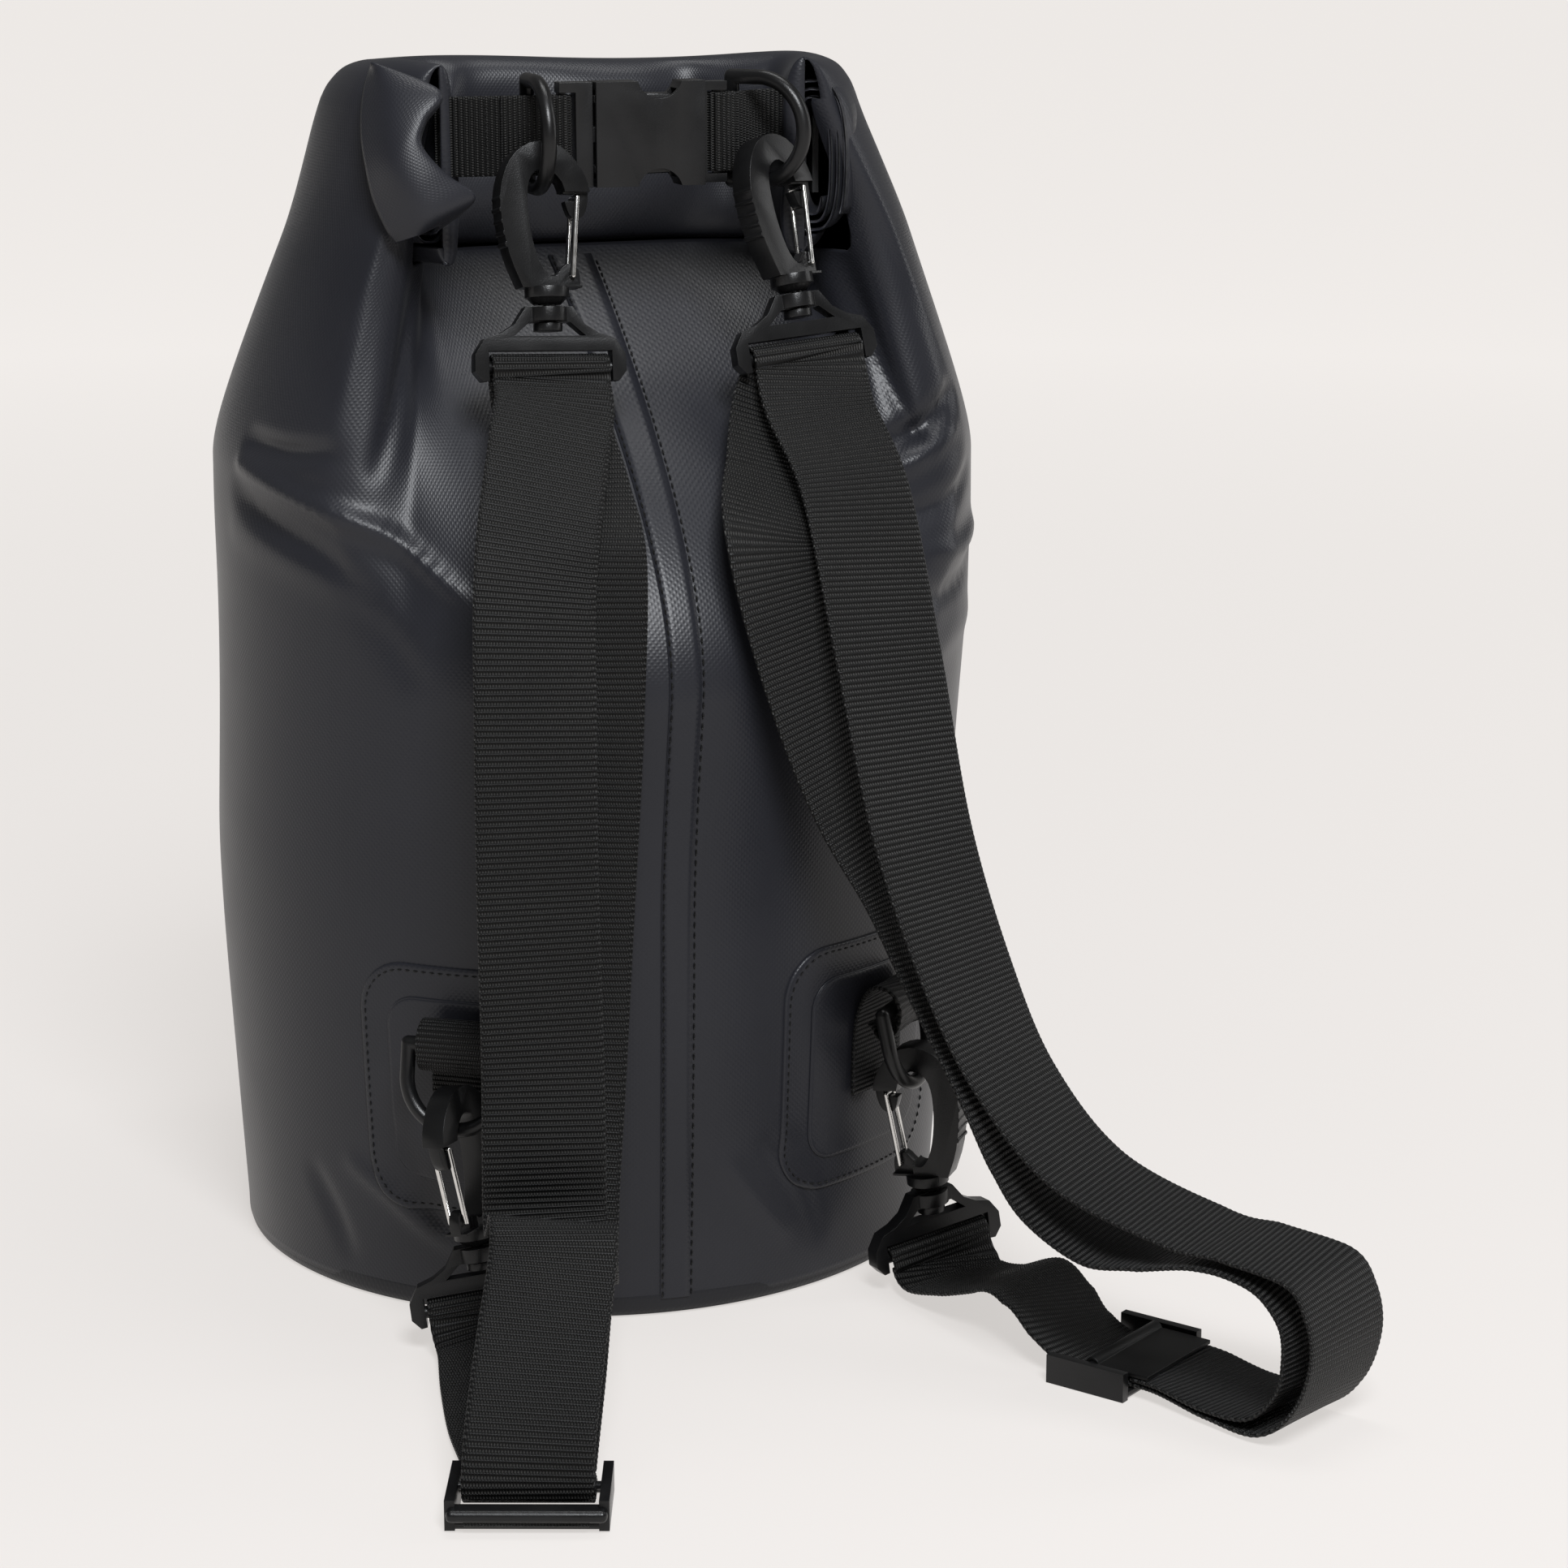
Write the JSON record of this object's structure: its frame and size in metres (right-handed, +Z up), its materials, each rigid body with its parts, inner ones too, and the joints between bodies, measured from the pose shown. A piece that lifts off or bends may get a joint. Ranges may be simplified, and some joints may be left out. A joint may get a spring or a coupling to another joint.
{
  "type": "roll-top dry bag with shoulder straps",
  "caption": "Cylindrical roll-top dry bag with welded base, side-release closure and two adjustable shoulder straps clipped to D-rings by swivel snap hooks.",
  "frame": {"origin": "centre of the flat underside of the base", "axes": "+Z up the bag, -Y towards the side with the straps, +X to the right seen from that side"},
  "size_m": [0.2983, 0.4178, 0.398],
  "materials": {
    "tarpaulin": "satin coated woven",
    "base_fabric": "satin coated woven",
    "webbing": "ribbed weave",
    "plastic": "satin moulded",
    "steel_wire": "bright drawn",
    "stiffener": "matte"
  },
  "bodies": {
    "bag": {"bag_tube": "tarpaulin", "base_disc": "base_fabric", "base_rim": "base_fabric", "seam_strip": "tarpaulin", "roll_top": "tarpaulin", "stiffener_strip": "stiffener", "patch_outer_left": "tarpaulin", "patch_outer_right": "tarpaulin", "patch_inner_left": "tarpaulin", "patch_inner_right": "tarpaulin", "tab_left": "webbing", "tab_right": "webbing", "strap_loop_top_left": "plastic", "strap_loop_top_right": "plastic", "strap_loop_low_left": "plastic", "strap_loop_low_right": "plastic", "strap_left": "webbing", "strap_right": "webbing", "sewn_end_left": "webbing", "slider_left": "plastic", "closure_web_left": "webbing", "closure_web_right": "webbing", "buckle_socket": "plastic", "buckle_plug": "plastic"},
    "hook_top_left_body": {"hook_top_left": "plastic"},
    "gate_top_left_body": {"gate_top_left": "steel_wire"},
    "ring_top_left_body": {"d_ring_top_left": "plastic"},
    "hook_top_right_body": {"hook_top_right": "plastic"},
    "gate_top_right_body": {"gate_top_right": "steel_wire"},
    "ring_top_right_body": {"d_ring_top_right": "plastic"},
    "hook_low_left_body": {"hook_low_left": "plastic"},
    "gate_low_left_body": {"gate_low_left": "steel_wire"},
    "ring_low_left_body": {"d_ring_low_left": "plastic"},
    "hook_low_right_body": {"hook_low_right": "plastic"},
    "gate_low_right_body": {"gate_low_right": "steel_wire"},
    "ring_low_right_body": {"d_ring_low_right": "plastic"},
    "prong_upper_body": {"buckle_prong_upper": "plastic"},
    "prong_lower_body": {"buckle_prong_lower": "plastic"},
    "slider_right_body": {"slider_right": "plastic", "sewn_end_right": "webbing"}
  },
  "joints": [
    {"name": "swivel_top_left", "type": "hinge", "parent": "bag", "child": "hook_top_left_body", "pos_m": [-0.0325, -0.0812, 0.3062], "axis": [0.0341, 0.2079, 0.9776], "range_deg": [-12, 11]},
    {"name": "gate_hinge_top_left", "type": "hinge", "parent": "hook_top_left_body", "child": "gate_top_left_body", "pos_m": [-0.02356, -0.07475, 0.33357], "axis": [0.077, -0.9758, 0.2048], "range_deg": [0, 20], "stiffness_Nm_per_rad": 0.05, "springref_deg": -5.73},
    {"name": "ring_hinge_top_left", "type": "hinge", "parent": "bag", "child": "ring_top_left_body", "pos_m": [-0.031, -0.0532, 0.377], "axis": [0, 0, -1], "range_deg": [-1.5, 1.5]},
    {"name": "swivel_top_right", "type": "hinge", "parent": "bag", "child": "hook_top_right_body", "pos_m": [0.053, -0.079, 0.3072], "axis": [-0.101, 0.2588, 0.9606], "range_deg": [-8, 12]},
    {"name": "gate_hinge_top_right", "type": "hinge", "parent": "hook_top_right_body", "child": "gate_top_right_body", "pos_m": [0.05713, -0.06779, 0.33418], "axis": [0.4738, -0.8365, 0.2752], "range_deg": [0, 20], "stiffness_Nm_per_rad": 0.05, "springref_deg": -5.73},
    {"name": "ring_hinge_top_right", "type": "hinge", "parent": "bag", "child": "ring_top_right_body", "pos_m": [0.037, -0.0532, 0.377], "axis": [0, 0, -1], "range_deg": [-1.5, 1.5]},
    {"name": "swivel_low_left", "type": "hinge", "parent": "bag", "child": "hook_low_left_body", "pos_m": [-0.07, -0.1288, 0.0161], "axis": [-0.1275, 0.1426, 0.9815], "range_deg": [-8, 8]},
    {"name": "gate_hinge_low_left", "type": "hinge", "parent": "hook_low_left_body", "child": "gate_low_left_body", "pos_m": [-0.07933, -0.13035, 0.04405], "axis": [-0.6882, 0.6999, -0.1911], "range_deg": [0, 20], "stiffness_Nm_per_rad": 0.05, "springref_deg": -5.73},
    {"name": "ring_hinge_low_left", "type": "hinge", "parent": "bag", "child": "ring_low_left_body", "pos_m": [-0.0746, -0.1149, 0.097], "axis": [0.8387, -0.5446, 0], "range_deg": [-1.5, 1.5]},
    {"name": "swivel_low_right", "type": "hinge", "parent": "bag", "child": "hook_low_right_body", "pos_m": [0.086, -0.1182, 0.0138], "axis": [-0.1236, 0.007, 0.9923], "range_deg": [-8, 8]},
    {"name": "gate_hinge_low_right", "type": "hinge", "parent": "hook_low_right_body", "child": "gate_low_right_body", "pos_m": [0.07659, -0.11265, 0.04121], "axis": [0.6646, 0.7431, 0.0776], "range_deg": [0, 20], "stiffness_Nm_per_rad": 0.05, "springref_deg": -5.73},
    {"name": "ring_hinge_low_right", "type": "hinge", "parent": "bag", "child": "ring_low_right_body", "pos_m": [0.0746, -0.1149, 0.097], "axis": [0.6691, 0.7431, 0], "range_deg": [-1.5, 1.5]},
    {"name": "prong_upper_squeeze", "type": "hinge", "parent": "bag", "child": "prong_upper_body", "pos_m": [-0.0113, -0.058, 0.3875], "axis": [0, 1, 0], "range_deg": [0, 6], "stiffness_Nm_per_rad": 0.4, "springref_deg": -1.15},
    {"name": "prong_lower_squeeze", "type": "hinge", "parent": "bag", "child": "prong_lower_body", "pos_m": [-0.0113, -0.058, 0.3655], "axis": [0, -1, 0], "range_deg": [0, 6], "stiffness_Nm_per_rad": 0.4, "springref_deg": -1.15},
    {"name": "slider_right_slide", "type": "slide", "parent": "bag", "child": "slider_right_body", "axis": [0.5707, -0.8212, 0], "range_m": [-0.003, 0.011]}
  ]
}
